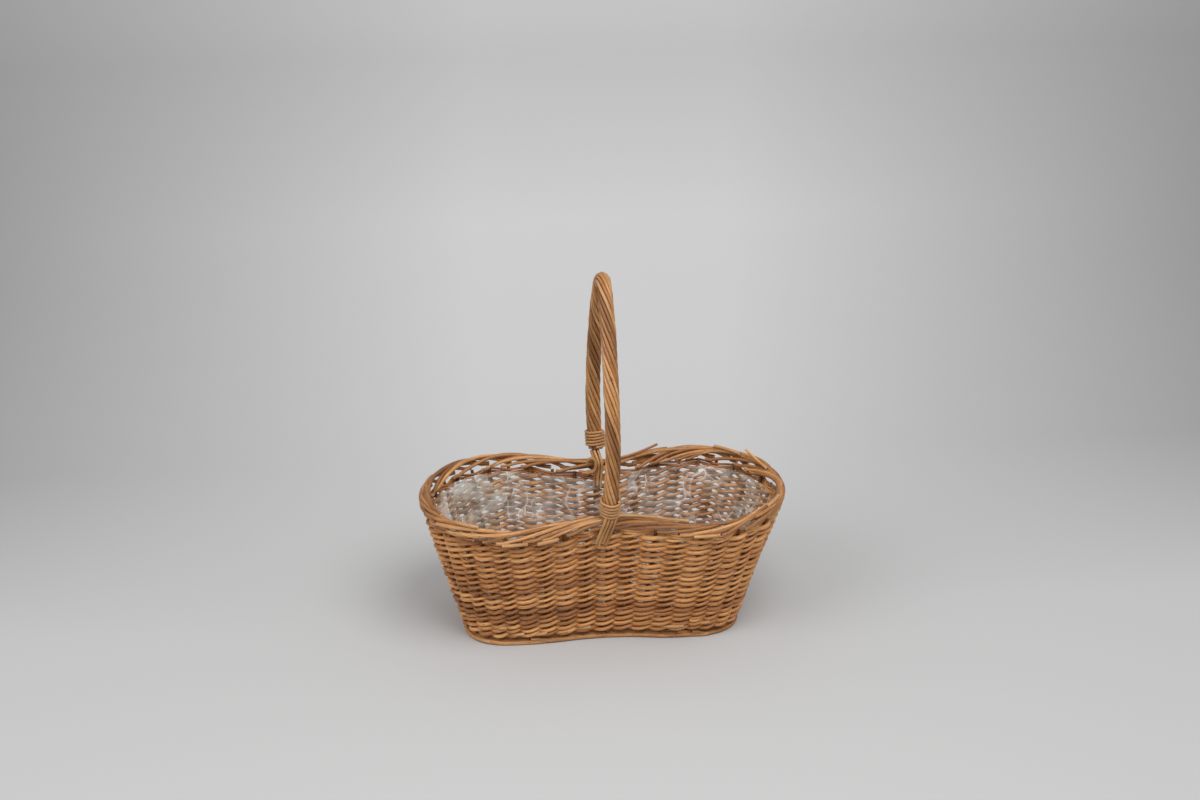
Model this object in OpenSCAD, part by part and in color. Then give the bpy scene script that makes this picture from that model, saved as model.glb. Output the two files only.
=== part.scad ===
// Waisted willow trug basket: woven flared walls on a stick base, a border of
// parallel rods, a bow handle wound with split rods and lashed at both feet,
// and a clear film liner.
// Millimetres, +Z up, length along X, front towards -Y. The origin is on the
// floor under the middle of the rim.

/* [Rim] */
// Length over the border
rim_len = 374; // [340:1:410]
// Width over the border across each lobe
rim_w = 200; // [180:1:220]
// Width over the border across the waist
rim_waist = 150; // [136:1:164]
// How far each lobe's widest place lies from the waist
rim_lobe = 96; // [80:1:108]
// Fullness of the rim's ends, where 2 is an ellipse
rim_full = 1.9; // [1.7:0.1:2.6]
// Height of the border's top above the floor
rim_h = 142; // [132:1:160]

/* [Foot] */
// Length over the foot
foot_len = 281; // [260:1:300]
// Width over the foot across each lobe
foot_w = 127; // [118:1:140]
// Width over the foot across the waist
foot_waist = 113; // [106:1:120]
// How far each lobe of the foot lies from the waist
foot_lobe = 79; // [70:1:90]
// Fullness of the foot's ends, where 2 is an ellipse
foot_full = 3.2; // [2.2:0.1:3.6]
// How far the foot stands off the rim's middle along X
foot_shift = -4; // [-8:1:8]
// Width of each of the three foot rods
foot_rod_w = 4.2; // [3.4:0.1:5]
// Height of the foot rods
foot_rod_h = 4.5; // [3.6:0.1:5.4]

/* [Base] */
// Diameter of the base sticks
stick_d = 4.2; // [3.4:0.1:5]
// Number of long sticks side by side
long_sticks = 3; // [1:2:5]
// Width and height of the base weaving rods
base_rod = 3.4; // [2.6:0.1:4]
// Number of base weaving rods on each side of the sticks
base_rods = 5; // [3:1:5]

/* [Wall] */
// Number of upright stakes, a multiple of four
stake_count = 44; // [40:4:48]
// Diameter of a stake
stake_d = 3.6; // [2.8:0.1:4.2]
// Width and height of a waling rod
wale_rod = 4.2; // [3.4:0.1:4.8]
// Distance from one waling row to the next
wale_pitch = 6; // [5.4:0.1:6.4]
// Number of waling rows
wale_rows = 4; // [3:1:4]
// Width and height of a weaving rod
weave_rod = 3.3; // [2.6:0.1:4]
// Number of weaving rows
weave_rows = 14; // [12:1:14]
// Open room between the waling and the first weaving row
weave_start = 1.5; // [0.5:0.1:3]
// Open room between the last weaving row and the border
weave_room = 5.8; // [4:0.1:8]

/* [Border] */
// Diameter of a border rod
border_d = 4.4; // [3.6:0.1:4.6]
// Thickness of the border across both columns of rods
border_t = 13.5; // [12.5:0.1:15]
// Border rods in each column
border_levels = 3; // [2:1:3]
// How far the border leans out for each millimetre of height
border_lean = 0.25; // [0.15:0.01:0.3]

/* [Handle] */
// Height of the bow's centre line at the crown
crown_h = 363; // [330:1:400]
// Diameter of the bow
bow_d = 7.6; // [6.4:0.1:8.4]
// Diameter of the bow's pared ends
bow_tip_d = 5; // [4:0.1:6]
// Breadth of the bow near the crown
crown_w = 78; // [64:1:92]
// How far the legs swell out above the feet
leg_swell = 96; // [70:1:110]
// Sideways turn of the bow above the rim, in degrees
bow_turn = 2; // [0:0.5:3]
// Number of rods wound along the bow
strands = 10; // [8:1:10]
// Diameter of a wound rod
strand_d = 3.2; // [2.6:0.1:3.3]
// Turns of the wound rods from foot to foot
strand_turns = 4.3; // [3:0.1:5]

/* [Lashings] */
// Diameter of a lashing rod
lash_d = 2.6; // [2.2:0.1:3]
// Distance from one turn of a lashing to the next
lash_pitch = 3.3; // [3.2:0.1:3.8]
// Turns of each lashing
lash_turns = 5; // [3:1:6]
// Height of the front lashing's foot above the border
lash_front_h = 3.4; // [3:0.1:6]
// Height of the back lashing's foot above the border
lash_back_h = 12; // [10:0.5:16]
// Number of rod ends brought down over each side of the border
tail_count = 4; // [2:1:4]
// Diameter of these rod ends
tail_d = 3; // [2.4:0.1:3.1]
// Length of these rod ends below the border's top
tail_len = 26; // [18:1:30]

/* [Liner] */
// Thickness of the film
film_t = 0.4; // [0.3:0.1:0.8]
// Width of a staple's crown
staple_w = 10; // [8:1:12]
// Thickness of the staple wire
staple_t = 0.8; // [0.6:0.1:1]
// Length of a staple's legs
staple_leg = 5; // [4:0.5:6]

/* [Clearances] */
// Gap between pieces that rest on each other
gap = 0.3; // [0.2:0.05:0.4]
// Distance of the stakes inside the border's outer edge
wall_inset = 9.5; // [8.5:0.1:11]

/* [Hidden] */
$fn = 24;
border_steps = 64;
tube_sides = 6;
bow_sides = 8;
bow_steps = 44;
wound_room = 1.06;
strand_steps = 54;
lash_steps = 24;
number = function(i) i < 10 ? str("0", i) : str(i);

// Willow colours
bark = "#a8753f";
bark_dark = "#8a5a2e";
bark_pale = "#bd8a52";

// Outlines. Each is a list of half length, half width, half waist, lobe
// distance, fullness and shift along X.
foot_edge = [foot_len / 2, foot_w / 2, foot_waist / 2, foot_lobe, foot_full, foot_shift];
rim_edge = [rim_len / 2, rim_w / 2, rim_waist / 2, rim_lobe, rim_full, 0];
// Share of each quarter that lies between the waist and the lobe
lobe_share = rim_lobe / (rim_lobe + PI / 4 * (rim_w / 2 + rim_len / 2 - rim_lobe));

function unit(v) = v / norm(v);
function mix(a, b, k) = a * (1 - k) + b * k;
function smooth(k) = let (c = min(max(k, 0), 1)) c * c * (3 - 2 * c);
function inset(s, d) = [s[0] - d, s[1] - d, s[2] - d, s[3], s[4], s[5]];

// A point of one quarter, from the waist at v = 0 to the end at v = 1
function quarter(v, s) = v < lobe_share
    ? [s[3] * v / lobe_share, s[1] - (s[1] - s[2]) * (1 + cos(180 * v / lobe_share)) / 2]
    : let (a = 90 * (v - lobe_share) / (1 - lobe_share),
           r = pow(pow(cos(a), s[4]) + pow(sin(a), s[4]), -1 / s[4]))
      [s[3] + (s[0] - s[3]) * r * sin(a), s[1] * r * cos(a)];

// A point all the way round: t runs from 0 at the right end, through 1 at the
// back of the waist, to 4 at the right end again
function outline(t, s) =
    let (u = t < 0 ? t + 4 : t >= 4 ? t - 4 : t, q = floor(u), f = u - q,
         p = quarter(q % 2 == 0 ? 1 - f : f, s))
    [(q == 0 || q == 3 ? 1 : -1) * p[0] + s[5], (q < 2 ? 1 : -1) * p[1]];

// The stake line at a height, between the foot's line and the border's
border_h = border_d * border_levels + gap * (border_levels - 1);
wall_top = rim_h - border_h - gap;
foot_inset = (3 * foot_rod_w + 2 * gap) / 2;
foot_line = inset(foot_edge, foot_inset);
rim_line = inset(rim_edge, wall_inset);
function wall(t, z) = mix(outline(t, foot_line), outline(t, rim_line), z / wall_top);
function wall_normal(t, z) =
    let (d = wall(t + 0.01, z) - wall(t - 0.01, z)) unit([d[1], -d[0]]);
function wall_off(t, z, off) = wall(t, z) + off * wall_normal(t, z);
function stake_t(i) = 4 * i / stake_count;
function at_bow(i) = i % (stake_count / 2) == stake_count / 4;
// The steepest lean of a stake, which widens it in a level cut
stake_lean = (rim_line[0] - foot_line[0] + abs(foot_shift)) / wall_top;

// Heights, from the floor up
stick_z = foot_rod_h + gap;
wale_z = stick_z + stick_d + gap;
weave_z = wale_z + (wale_rows - 1) * wale_pitch + wale_rod + weave_start;
liner_z = wale_z + base_rod + gap;
weave_pitch = (wall_top - weave_room - weave_rod - weave_z) / (weave_rows - 1);

// The bow's diameter within the wall, thinning towards its tip
function bow_d_at(z) = mix(bow_tip_d, bow_d, min(max(z / wall_top, 0), 1));
function post_r(i, z) = at_bow(i) ? bow_d_at(z) / 2 : stake_d / 2;

// A level ring between two offsets from the stake line
module level_ring(z, h, outer, inner, steps) {
    translate([0, 0, z]) linear_extrude(h) difference() {
        polygon([for (i = [0:steps - 1]) wall_off(4 * i / steps, z, outer)]);
        polygon([for (i = [0:steps - 1]) wall_off(4 * i / steps, z, inner)]);
    }
}

// The edge of a woven row: out at one stake, in at the next, with a short
// straight run past each
function row_edge(z, d, phase, off) = [
    for (i = [0:stake_count - 1])
        let (side = (i + phase + stake_count / 4) % 2 == 0 ? 1 : -1,
             reach = post_r(i, z + d / 2) + stake_lean * d / 2 + gap + d / 2,
             run = (post_r(i, z) + 0.5) / (4 * norm(wall(stake_t(i), z) - wall(stake_t(i + 1), z))))
        for (k = [-1, 1]) wall_off(stake_t(i + k * run * 4), z + d / 2, side * reach + off)];

module woven_row(z, d, phase) {
    translate([0, 0, z]) linear_extrude(d) difference() {
        polygon(row_edge(z, d, phase, d / 2));
        polygon(row_edge(z, d, phase, -d / 2));
    }
}

// A round rod along a list of points. The reference direction is one that the
// rod never runs along.
function tube_points(path, radii, sides, ref, closed) =
    let (n = len(path))
    [for (i = [0:n - 1])
        let (before = path[closed ? (i + n - 1) % n : max(i - 1, 0)],
             after = path[closed ? (i + 1) % n : min(i + 1, n - 1)],
             run = unit(after - before),
             across = unit(cross(run, ref)),
             up = cross(across, run))
        for (j = [0:sides - 1])
            path[i] + radii[i] * (cos(360 * j / sides) * up + sin(360 * j / sides) * across)];

function tube_faces(n, sides, closed) = concat(
    [for (i = [0:n - (closed ? 1 : 2)], j = [0:sides - 1])
        let (a = i * sides + j, b = i * sides + (j + 1) % sides,
             c = (a + sides) % (n * sides), d = (b + sides) % (n * sides))
        each [[a, b, c], [b, d, c]]],
    closed ? [] : [for (j = [1:sides - 2]) [0, j + 1, j]],
    closed ? [] : [for (j = [1:sides - 2])
        [(n - 1) * sides, (n - 1) * sides + j, (n - 1) * sides + j + 1]]);

module tube(path, radii, sides, ref, closed = false) {
    polyhedron(tube_points(path, radii, sides, ref, closed),
        tube_faces(len(path), sides, closed));
}

module rod(path, d, ref, closed = false) {
    tube(path, [for (p = path) d / 2], tube_sides, ref, closed);
}

// Foot and base
module foot_rod(k) {
    top = foot_inset - k * (foot_rod_w + gap);
    color(bark_dark) level_ring(0, foot_rod_h, top, top - foot_rod_w, 2 * stake_count);
}

module stick_between(a, b) {
    d = b - a;
    translate([a[0], a[1], stick_z + stick_d / 2])
        rotate([0, 90, atan2(d[1], d[0])]) cylinder(d = stick_d, h = norm(d));
}

stick_end = 4 * gap;
bundle = (long_sticks * stick_d + (long_sticks - 1) * gap) / 2;
function stick_tip(i) =
    wall_off(stake_t(i), stick_z + stick_d / 2, -stick_end - post_r(i, stick_z + stick_d));

module base_sticks_long() {
    reach = foot_line[0] - stake_d / 2 - stick_end;
    color(bark_pale) for (i = [0:long_sticks - 1]) {
        y = -bundle + stick_d / 2 + i * (stick_d + gap);
        stick_between([foot_shift - reach, y], [foot_shift + reach, y]);
    }
}

// Cross sticks run from the long ones to every other stake of the sides
cross_reach = 2 * floor(stake_count / 16 + 0.9);
module base_sticks_side(side) {
    middle = stake_count * (side > 0 ? 1 : 3) / 4;
    color(bark_pale) for (k = [-cross_reach:2:cross_reach]) {
        tip = stick_tip(middle + k);
        stick_between([tip[0], side * (bundle + gap)], tip);
    }
}

// Rays fan out to the corners past the last cross stick
module base_sticks_ends() {
    last = wall(stake_t(stake_count / 4 - cross_reach), 0)[0] - foot_shift;
    color(bark_pale) for (sx = [-1, 1], sy = [-1, 1], k = [0:1]) {
        i = stake_count / 4 - cross_reach - 2 - 2 * k;
        tip = stick_tip(i);
        start = [last + (k + 1) * (stick_d * 2.2), bundle + gap + stick_d * 0.7];
        stick_between([foot_shift + sx * start[0], sy * start[1]],
            [foot_shift + sx * (tip[0] - foot_shift), sy * tip[1]]);
    }
}

base_first = foot_inset + gap + 1;
base_pitch = (foot_line[2] - base_first - base_rod - bundle) / (base_rods - 0.5);
module base_weave(z, first) {
    color(bark) translate([0, 0, z]) linear_extrude(base_rod) for (k = [0:base_rods - 1]) {
        line = inset(foot_line, first + k * base_pitch);
        difference() {
            polygon([for (i = [0:stake_count - 1]) outline(stake_t(i), line)]);
            polygon([for (i = [0:stake_count - 1])
                outline(stake_t(i), inset(line, base_rod))]);
        }
    }
}

module base_weave_lower() { base_weave(foot_rod_h - base_rod, base_first); }
module base_weave_upper() { base_weave(wale_z, base_first + base_pitch / 2); }

// Stakes of one quarter, which leave the bow's place free
module stakes(quarter_no) {
    per = stake_count / 4;
    color(bark_dark) for (i = [quarter_no * per:quarter_no * per + per - 1]) if (!at_bow(i)) {
        a = wall(stake_t(i), stick_z);
        b = wall(stake_t(i), wall_top);
        run = [b[0] - a[0], b[1] - a[1], wall_top - stick_z];
        tip = stake_d * stake_lean / 2;
        translate([a[0], a[1], stick_z])
            rotate([0, acos(run[2] / norm(run)), atan2(run[1], run[0])])
                translate([0, 0, tip]) cylinder(d = stake_d, h = norm(run) - 2 * tip);
    }
}

module wale_row(k) { color(bark_dark) woven_row(wale_z + (k - 1) * wale_pitch, wale_rod, k); }
module weave_row(k) { color(bark) woven_row(weave_z + (k - 1) * weave_pitch, weave_rod, 0); }

// Border. Both columns part round the bow at the waist.
column = (border_t - border_d) / 2;
part_len = 14;
function border_z(level) = rim_h - border_d / 2 - (level - 1) * (border_d + gap);
function border_line(level) =
    inset(rim_edge, border_t / 2 + border_lean * (border_d + gap) * (level - 1));
bow_part = max(0, bow_d / 2 + gap + border_d / 2 - column + 0.4);
function border_point(t, level, side) =
    let (s = border_line(level), p = outline(t, s),
         d = outline(t + 0.01, s) - outline(t - 0.01, s), n = unit([d[1], -d[0]]),
         off = side * (column + bow_part * exp(-pow(p[0] / part_len, 2))))
    [p[0] + off * n[0], p[1] + off * n[1], border_z(level)];
module border_rod(level, side) {
    color(side > 0 ? bark_pale : bark)
        rod([for (i = [0:border_steps - 1]) border_point(4 * i / border_steps, level, side)],
            border_d, [0, 0, 1], true);
}

// Bow. Above the border the centre line starts as a parabola at the crown,
// swells and draws in to the feet. Below, it follows the stake line.
bow_foot_z = border_z(1);
bow_foot_y = border_line(1)[2];
arch_h = crown_h - bow_foot_z;
function bow_y(w) = w * (crown_w * (1 - w * w) + bow_foot_y * w * w + leg_swell * w * w * (1 - w * w));
function bow_z(w) = crown_h - w * w * arch_h;
function turned(y, z) = -y * tan(bow_turn) * smooth((z - bow_foot_z) / (arch_h / 3));
function arch_point(w) = [turned(bow_y(w), bow_z(w)), bow_y(w), bow_z(w)];
fine = 200;
arch_fine = [for (i = [0:fine]) arch_point(2 * i / fine - 1)];
arch_runs = [for (i = 0, s = 0; i <= fine;
    s = s + (i < fine ? norm(arch_fine[i + 1] - arch_fine[i]) : 0), i = i + 1) [s, 2 * i / fine - 1]];
arch_len = arch_runs[fine][0];
function arch_at(s) = arch_point(lookup(s, arch_runs));

function leg_below(side) = [
    for (k = [0:6]) let (z = mix(stick_z + gap, wall_top, k / 6)) [0, side * wall(1, z)[1], z]];
bow_path = concat(leg_below(-1),
    [for (i = [0:bow_steps]) arch_at(arch_len * i / bow_steps)],
    [for (i = [6:-1:0]) leg_below(1)[i]]);
module handle_bow() {
    color(bark_dark) tube(bow_path, [for (p = bow_path) bow_d_at(p[2]) / 2], bow_sides, [1, 0, 0]);
}

// Wound rods, from the top of the border in front to the back lashing
strand_r = max((bow_d + strand_d) / 2 + gap,
    (strand_d * wound_room + gap) / 2 / sin(180 / strands));
function leg_s(z, side) =
    let (w = sqrt((crown_h - z) / arch_h) * side) lookup(w, [for (p = arch_runs) [p[1], p[0]]]);
strand_from = leg_s(rim_h + strand_r * 0.4 + gap, -1);
strand_to = leg_s(rim_h + lash_back_h - 1, 1);
function arch_frame(s) =
    let (a = arch_at(max(s - 0.5, 0)), b = arch_at(min(s + 0.5, arch_len)),
         run = unit(b - a), across = unit(cross(run, [1, 0, 0])))
    [arch_at(s), across, cross(across, run)];
function round_bow(s, r, a) =
    let (f = arch_frame(s)) f[0] + r * (cos(a) * f[1] + sin(a) * f[2]);
function strand_path(k) = [for (i = [0:strand_steps])
    let (s = mix(strand_from, strand_to, i / strand_steps))
    round_bow(s, strand_r, 360 * (k / strands + strand_turns * s / arch_len))];
module handle_strand(k) {
    path = strand_path(k);
    color(k % 2 == 0 ? bark : bark_pale)
        tube(path, [for (p = path) strand_d / 2], 5, [1, 0, 0]);
}

// Lashings: each is one rod, wound round the leg from the top down
lash_r = strand_r + strand_d / 2 + gap + lash_d / 2;
function winding(z_foot, side, end) = [for (i = [0:lash_turns * lash_steps])
    let (left = lash_turns - i / lash_steps, s = leg_s(z_foot + lash_d / 2, side))
    round_bow(s - side * lash_pitch * left, lash_r, end + 360 * left)];
lash_front = winding(rim_h + lash_front_h, -1, 125);
lash_back = winding(rim_h + lash_back_h, 1, 0);
// The front lashing's end runs on along the top of the border
function front_end() = let (last = lash_front[len(lash_front) - 1])
    [for (k = [1:8])
        let (p = border_point(3 + 0.02 + 0.036 * k, 1, 0), near = 1 - smooth(k / 4),
             z = rim_h + lash_d / 2 + gap)
        [mix(p[0], last[0] + 2.6 * k, near), mix(p[1], last[1], near), mix(z, last[2], near)]];
// The back lashing starts with a short end that stands out to the right
function back_start() = [for (k = [3:-1:1])
    lash_back[0] + [2.4 * k, 0.1 * k, 0.2 * k]];
lash_front_path = concat(lash_front, front_end());
lash_back_path = concat(back_start(), lash_back);

// Least distance between points of a winding that lie half a turn or more apart
function least_gap(p, d) = min([for (i = [0:len(p) - 1], j = [i + 12:len(p) - 1])
    if (j < len(p)) norm(p[i] - p[j])]) - d;

module lashing(path) { color(bark_pale) rod(path, lash_d, [0, 0, 1]); }

// Rod ends brought down below each lashing, over the border's outer face in
// front and down its inner face at the back
tail_out = border_d / 2 + gap + tail_d / 2;
function tail_face(side, level, away) = border_point(side < 0 ? 3 : 1, level, -side)[1] - tail_out - away;
function tail_x(k) = (k - (tail_count - 1) / 2) * (tail_d + gap) * wound_room;
tail_end_z = rim_h - tail_len;
tail_slant = 9;
function tail_front(k) =
    let (top = min([for (p = lash_front) p[2]]) - lash_d / 2 - 2 * gap,
         levels = [[top, 1, 0], [border_z(1), 1, 0], [border_z(border_levels), border_levels, 0.8],
                   [tail_end_z - k % 2 * 2, border_levels, 0.5]])
    [for (l = levels)
        [tail_x(k) + 1 - tail_slant * (top - l[0]) / tail_len, tail_face(-1, l[1], l[2]), l[0]]];
function tail_back(k) =
    let (x = tail_x(k) + tail_d, last = tail_face(1, border_levels, 0),
         start = round_bow(strand_to + tail_d / 2, strand_r + gap,
             (k - (tail_count - 1) / 2) * 360 / strands))
    [start, mix(start, [x, tail_face(1, 1, 0), rim_h], 0.45),
     [x, tail_face(1, 1, 0), rim_h + gap], [x, tail_face(1, 1, 0), border_z(1)],
     [x, last, border_z(border_levels)], [x, last + 0.3, tail_end_z + k % 2 * 2]];
module tails(side) {
    color(bark_pale) for (k = [0:tail_count - 1])
        rod(side < 0 ? tail_front(k) : tail_back(k), tail_d, [1, 0, 0]);
}

// Liner, a closed shell of film with slots for the staples. It keeps clear of
// the rods' inner faces, of the bow and of the rod ends below the back lashing.
function row_depth(rod_d) = stake_d / 2 + rod_d + stake_lean * rod_d + 3 * gap;
tail_room = tail_d + 2 * gap;
liner_levels = [liner_z, weave_z, weave_z + 12, tail_end_z - 20, tail_end_z - 6, wall_top - gap];
liner_depths = [row_depth(wale_rod), row_depth(wale_rod), row_depth(weave_rod),
    row_depth(weave_rod), row_depth(weave_rod), row_depth(weave_rod)];
liner_tails = [0, 0, 0, 0, tail_room, tail_room];
function at_level(z, values) =
    lookup(z, [for (k = [0:len(liner_levels) - 1]) [liner_levels[k], values[k]]]);
function liner_off(t, z, d) =
    let (bow = (bow_d_at(z) - stake_d) / 2 + gap + at_level(z, liner_tails),
         near = exp(-pow(wall(t, z)[0] / part_len, 2)))
    wall_off(t, z, -at_level(z, liner_depths) - bow * near - d);
liner_steps = 2 * stake_count;
module liner_body(d, z0, z1) {
    levels = [z0, each [for (k = [1:len(liner_levels) - 2]) liner_levels[k]], z1];
    n = len(levels);
    points = [for (z = levels, i = [0:liner_steps - 1])
        let (p = liner_off(4 * i / liner_steps, z, d)) [p[0], p[1], z]];
    polyhedron(concat(points, [[foot_shift, 0, z0], [0, 0, z1]]), concat(
        [for (k = [0:n - 2], i = [0:liner_steps - 1])
            let (a = k * liner_steps + i, b = k * liner_steps + (i + 1) % liner_steps)
            each [[a, a + liner_steps, b], [b, a + liner_steps, b + liner_steps]]],
        [for (i = [0:liner_steps - 1]) [i, (i + 1) % liner_steps, n * liner_steps]],
        [for (i = [0:liner_steps - 1]) let (o = (n - 1) * liner_steps)
            [o + (i + 1) % liner_steps, o + i, n * liner_steps + 1]]));
}

liner_top = wall_top - gap;
staple_z = mix(weave_z + (weave_rows - 1) * weave_pitch + weave_rod, wall_top, 0.5);
staple_places = [0.35, 0.8, 1.2, 1.65, 2.35, 2.8, 3.2, 3.65];
module at_staple(t) {
    p = liner_off(t, staple_z, film_t + 2 * gap);
    n = wall_normal(t, staple_z);
    translate([p[0], p[1], staple_z]) rotate([0, 0, atan2(n[1], n[0])]) children();
}
module staple_legs(length, t) {
    for (s = [-1, 1]) translate([-staple_t / 2, s * (staple_w - staple_t) / 2 - t / 2, -t / 2])
        cube([length, t, t]);
}

module liner() {
    color("#dfe6e2", 0.5) difference() {
        liner_body(0, liner_z, liner_top);
        liner_body(film_t, liner_z + film_t, liner_top + 1);
        for (t = staple_places) at_staple(t) staple_legs(film_t * 3 + gap * 2, staple_t + 2 * gap);
    }
}

module liner_staples() {
    color("silver") for (t = staple_places) at_staple(t) {
        translate([-staple_t, -staple_w / 2, -staple_t / 2]) cube([staple_t, staple_w, staple_t]);
        translate([-staple_t / 2, 0, 0]) staple_legs(staple_leg, staple_t);
    }
}

// Two rods that have sprung loose at the back. Each lies on the border's inner
// column at its thick end and rises off it towards its free end.
loose_seat = (border_d + tail_d) / 2 + gap;
module loose_rod(t_from, t_step, rise) {
    color(bark) rod([for (k = [0:6])
        border_point(t_from + k * t_step, 1, -1) + [0, 0, loose_seat + rise * k * k]],
        tail_d, [0, 0, 1]);
}
module loose_rod_back() { loose_rod(0.94, -0.033, 0.2); }
module loose_rod_right() { loose_rod(0.13, 0.026, 0.22); }

echo(lashing_front_least_gap = least_gap(lash_front_path, lash_d));
echo(lashing_back_least_gap = least_gap(lash_back_path, lash_d));

foot_rod(0);  // foot_rod_outer
foot_rod(1);  // foot_rod_middle
foot_rod(2);  // foot_rod_inner
base_sticks_long();
base_sticks_side(-1);  // base_sticks_front
base_sticks_side(1);  // base_sticks_back
base_sticks_ends();
base_weave_lower();
base_weave_upper();
stakes(0);  // stakes_back_right
stakes(1);  // stakes_back_left
stakes(2);  // stakes_front_left
stakes(3);  // stakes_front_right
for (i = [1:wale_rows])
    wale_row(i);
for (i = [1:weave_rows])
    weave_row(i);
for (i = [1:border_levels])
    border_rod(i, 1);
for (i = [1:border_levels])
    border_rod(i, -1);
handle_bow();
for (i = [1:strands])
    handle_strand(i);
lashing(lash_front_path);  // lashing_front
lashing(lash_back_path);  // lashing_back
tails(-1);  // handle_tails_front
tails(1);  // handle_tails_back
liner();
liner_staples();
loose_rod_back();
loose_rod_right();
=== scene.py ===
"""Looks of a waisted willow trug basket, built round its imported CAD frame.

Lengths are in millimetres until a mesh is made. The driving sizes repeat those of
the CAD source, so each row of rods lies where its CAD solids lie.

A place round the basket is given as t, which is 0 at the right end, 1 at the back
waist, 2 at the left end and 3 at the front waist, or as a stake number u, of which
a round has STAKES.
"""

import math
import random

import bpy
import numpy as np
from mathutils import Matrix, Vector, noise


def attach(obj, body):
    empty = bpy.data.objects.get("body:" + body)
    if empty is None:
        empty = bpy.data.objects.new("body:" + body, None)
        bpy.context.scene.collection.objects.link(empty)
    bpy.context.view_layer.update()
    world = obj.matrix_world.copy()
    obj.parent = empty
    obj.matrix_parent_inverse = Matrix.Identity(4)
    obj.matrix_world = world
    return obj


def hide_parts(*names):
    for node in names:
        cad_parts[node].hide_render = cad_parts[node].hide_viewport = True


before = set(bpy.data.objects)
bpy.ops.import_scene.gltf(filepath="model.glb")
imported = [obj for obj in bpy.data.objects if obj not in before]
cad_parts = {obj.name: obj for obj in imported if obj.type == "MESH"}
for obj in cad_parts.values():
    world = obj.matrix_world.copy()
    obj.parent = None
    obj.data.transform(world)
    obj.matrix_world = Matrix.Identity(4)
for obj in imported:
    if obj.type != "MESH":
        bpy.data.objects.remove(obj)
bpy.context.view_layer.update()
rng = random.Random(7)

MM = 0.001


class Outline:
    """A plan of two lobes and a waist, measured from its middle to its ends, its widest
    sides and its waist. lobe is the x of the widest place, a higher power makes the
    lobes squarer, and shift moves the plan in x."""

    def __init__(self, end, side, waist, lobe, power, shift):
        self.end, self.side, self.waist = end, side, waist
        self.lobe, self.power, self.shift = lobe, power, shift

    def inset(self, d):
        return Outline(self.end - d, self.side - d, self.waist - d,
                       self.lobe, self.power, self.shift)


# Driving sizes, as in the CAD source
RIM = Outline(end=187.0, side=100.0, waist=75.0, lobe=96.0, power=1.9, shift=0.0)
FOOT = Outline(end=140.5, side=63.5, waist=56.5, lobe=79.0, power=3.2, shift=-4.0)
GAP = 0.3
RIM_H = 142.0
FOOT_RODS, FOOT_ROD_W, FOOT_ROD_H = 3, 4.2, 4.5
LONG_STICKS, STICK_D = 3, 4.2
BASE_ROD, BASE_RODS = 3.4, 5
STAKES, STAKE_D = 44, 3.6
WALE_ROD, WALE_PITCH, WALE_ROWS = 4.2, 6.0, 4
WEAVE_ROD, WEAVE_ROWS = 3.3, 14
WEAVE_START, WEAVE_ROOM = 1.5, 5.8
BORDER_D, BORDER_T, BORDER_LEVELS, BORDER_LEAN = 4.4, 13.5, 3, 0.25
CROWN_H, CROWN_W, LEG_SWELL, BOW_TURN = 363.0, 78.0, 96.0, 2.0
BOW_D, BOW_TIP_D = 7.6, 5.0
STRANDS, STRAND_D, STRAND_TURNS, STRAND_ROOM = 10, 3.2, 4.3, 1.06
LASH_D, LASH_PITCH, LASH_TURNS = 2.6, 3.3, 5
LASH_FRONT_H, LASH_BACK_H = 3.4, 12.0
TAILS, TAIL_D, TAIL_LEN = 4, 3.0, 26.0
FILM_T = 0.4
WALL_INSET = 9.5

# Sizes that follow from them
BORDER_H = BORDER_D * BORDER_LEVELS + GAP * (BORDER_LEVELS - 1)
WALL_TOP = RIM_H - BORDER_H - GAP
FOOT_INSET = (FOOT_RODS * FOOT_ROD_W + (FOOT_RODS - 1) * GAP) / 2
STICK_Z = FOOT_ROD_H + GAP
WALE_Z = STICK_Z + STICK_D + GAP
WEAVE_Z = WALE_Z + (WALE_ROWS - 1) * WALE_PITCH + WALE_ROD + WEAVE_START
WEAVE_PITCH = (WALL_TOP - WEAVE_ROOM - WEAVE_ROD - WEAVE_Z) / (WEAVE_ROWS - 1)
LINER_Z = WALE_Z + BASE_ROD + GAP
LOBE_SHARE = RIM.lobe / (RIM.lobe + math.pi / 4 * (RIM.side + RIM.end - RIM.lobe))
FOOT_LINE = FOOT.inset(FOOT_INSET)
RIM_LINE = RIM.inset(WALL_INSET)
BORDER_LINE = RIM.inset(BORDER_T / 2)

# The clearance of rods that cross, t at the front waist and for a whole round, and the
# points along a rod from one stake to the next
CLEAR = 0.1
FRONT_WAIST, ROUND = 3, 4
STEPS = 6
ALL_ROUND = np.arange(STAKES * STEPS) / STEPS


def outline(t, s):
    """Points at t round an outline."""
    u = np.mod(np.asarray(t, float), ROUND)
    quarter = np.floor(u).astype(int)
    f = u - quarter
    v = np.where(quarter % 2 == 0, 1 - f, f)
    near = v < LOBE_SHARE
    lobe = np.pi * v / LOBE_SHARE
    a = np.pi / 2 * np.clip((v - LOBE_SHARE) / (1 - LOBE_SHARE), 0, 1)
    r = (np.abs(np.cos(a)) ** s.power + np.abs(np.sin(a)) ** s.power) ** (-1 / s.power)
    x = np.where(near, s.lobe * v / LOBE_SHARE, s.lobe + (s.end - s.lobe) * r * np.sin(a))
    y = np.where(near, s.side - (s.side - s.waist) * (1 + np.cos(lobe)) / 2,
                 s.side * r * np.cos(a))
    x = np.where((quarter == 0) | (quarter == 3), 1, -1) * x + s.shift
    y = np.where(quarter < 2, 1, -1) * y
    return np.stack([x, y], -1)


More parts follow.
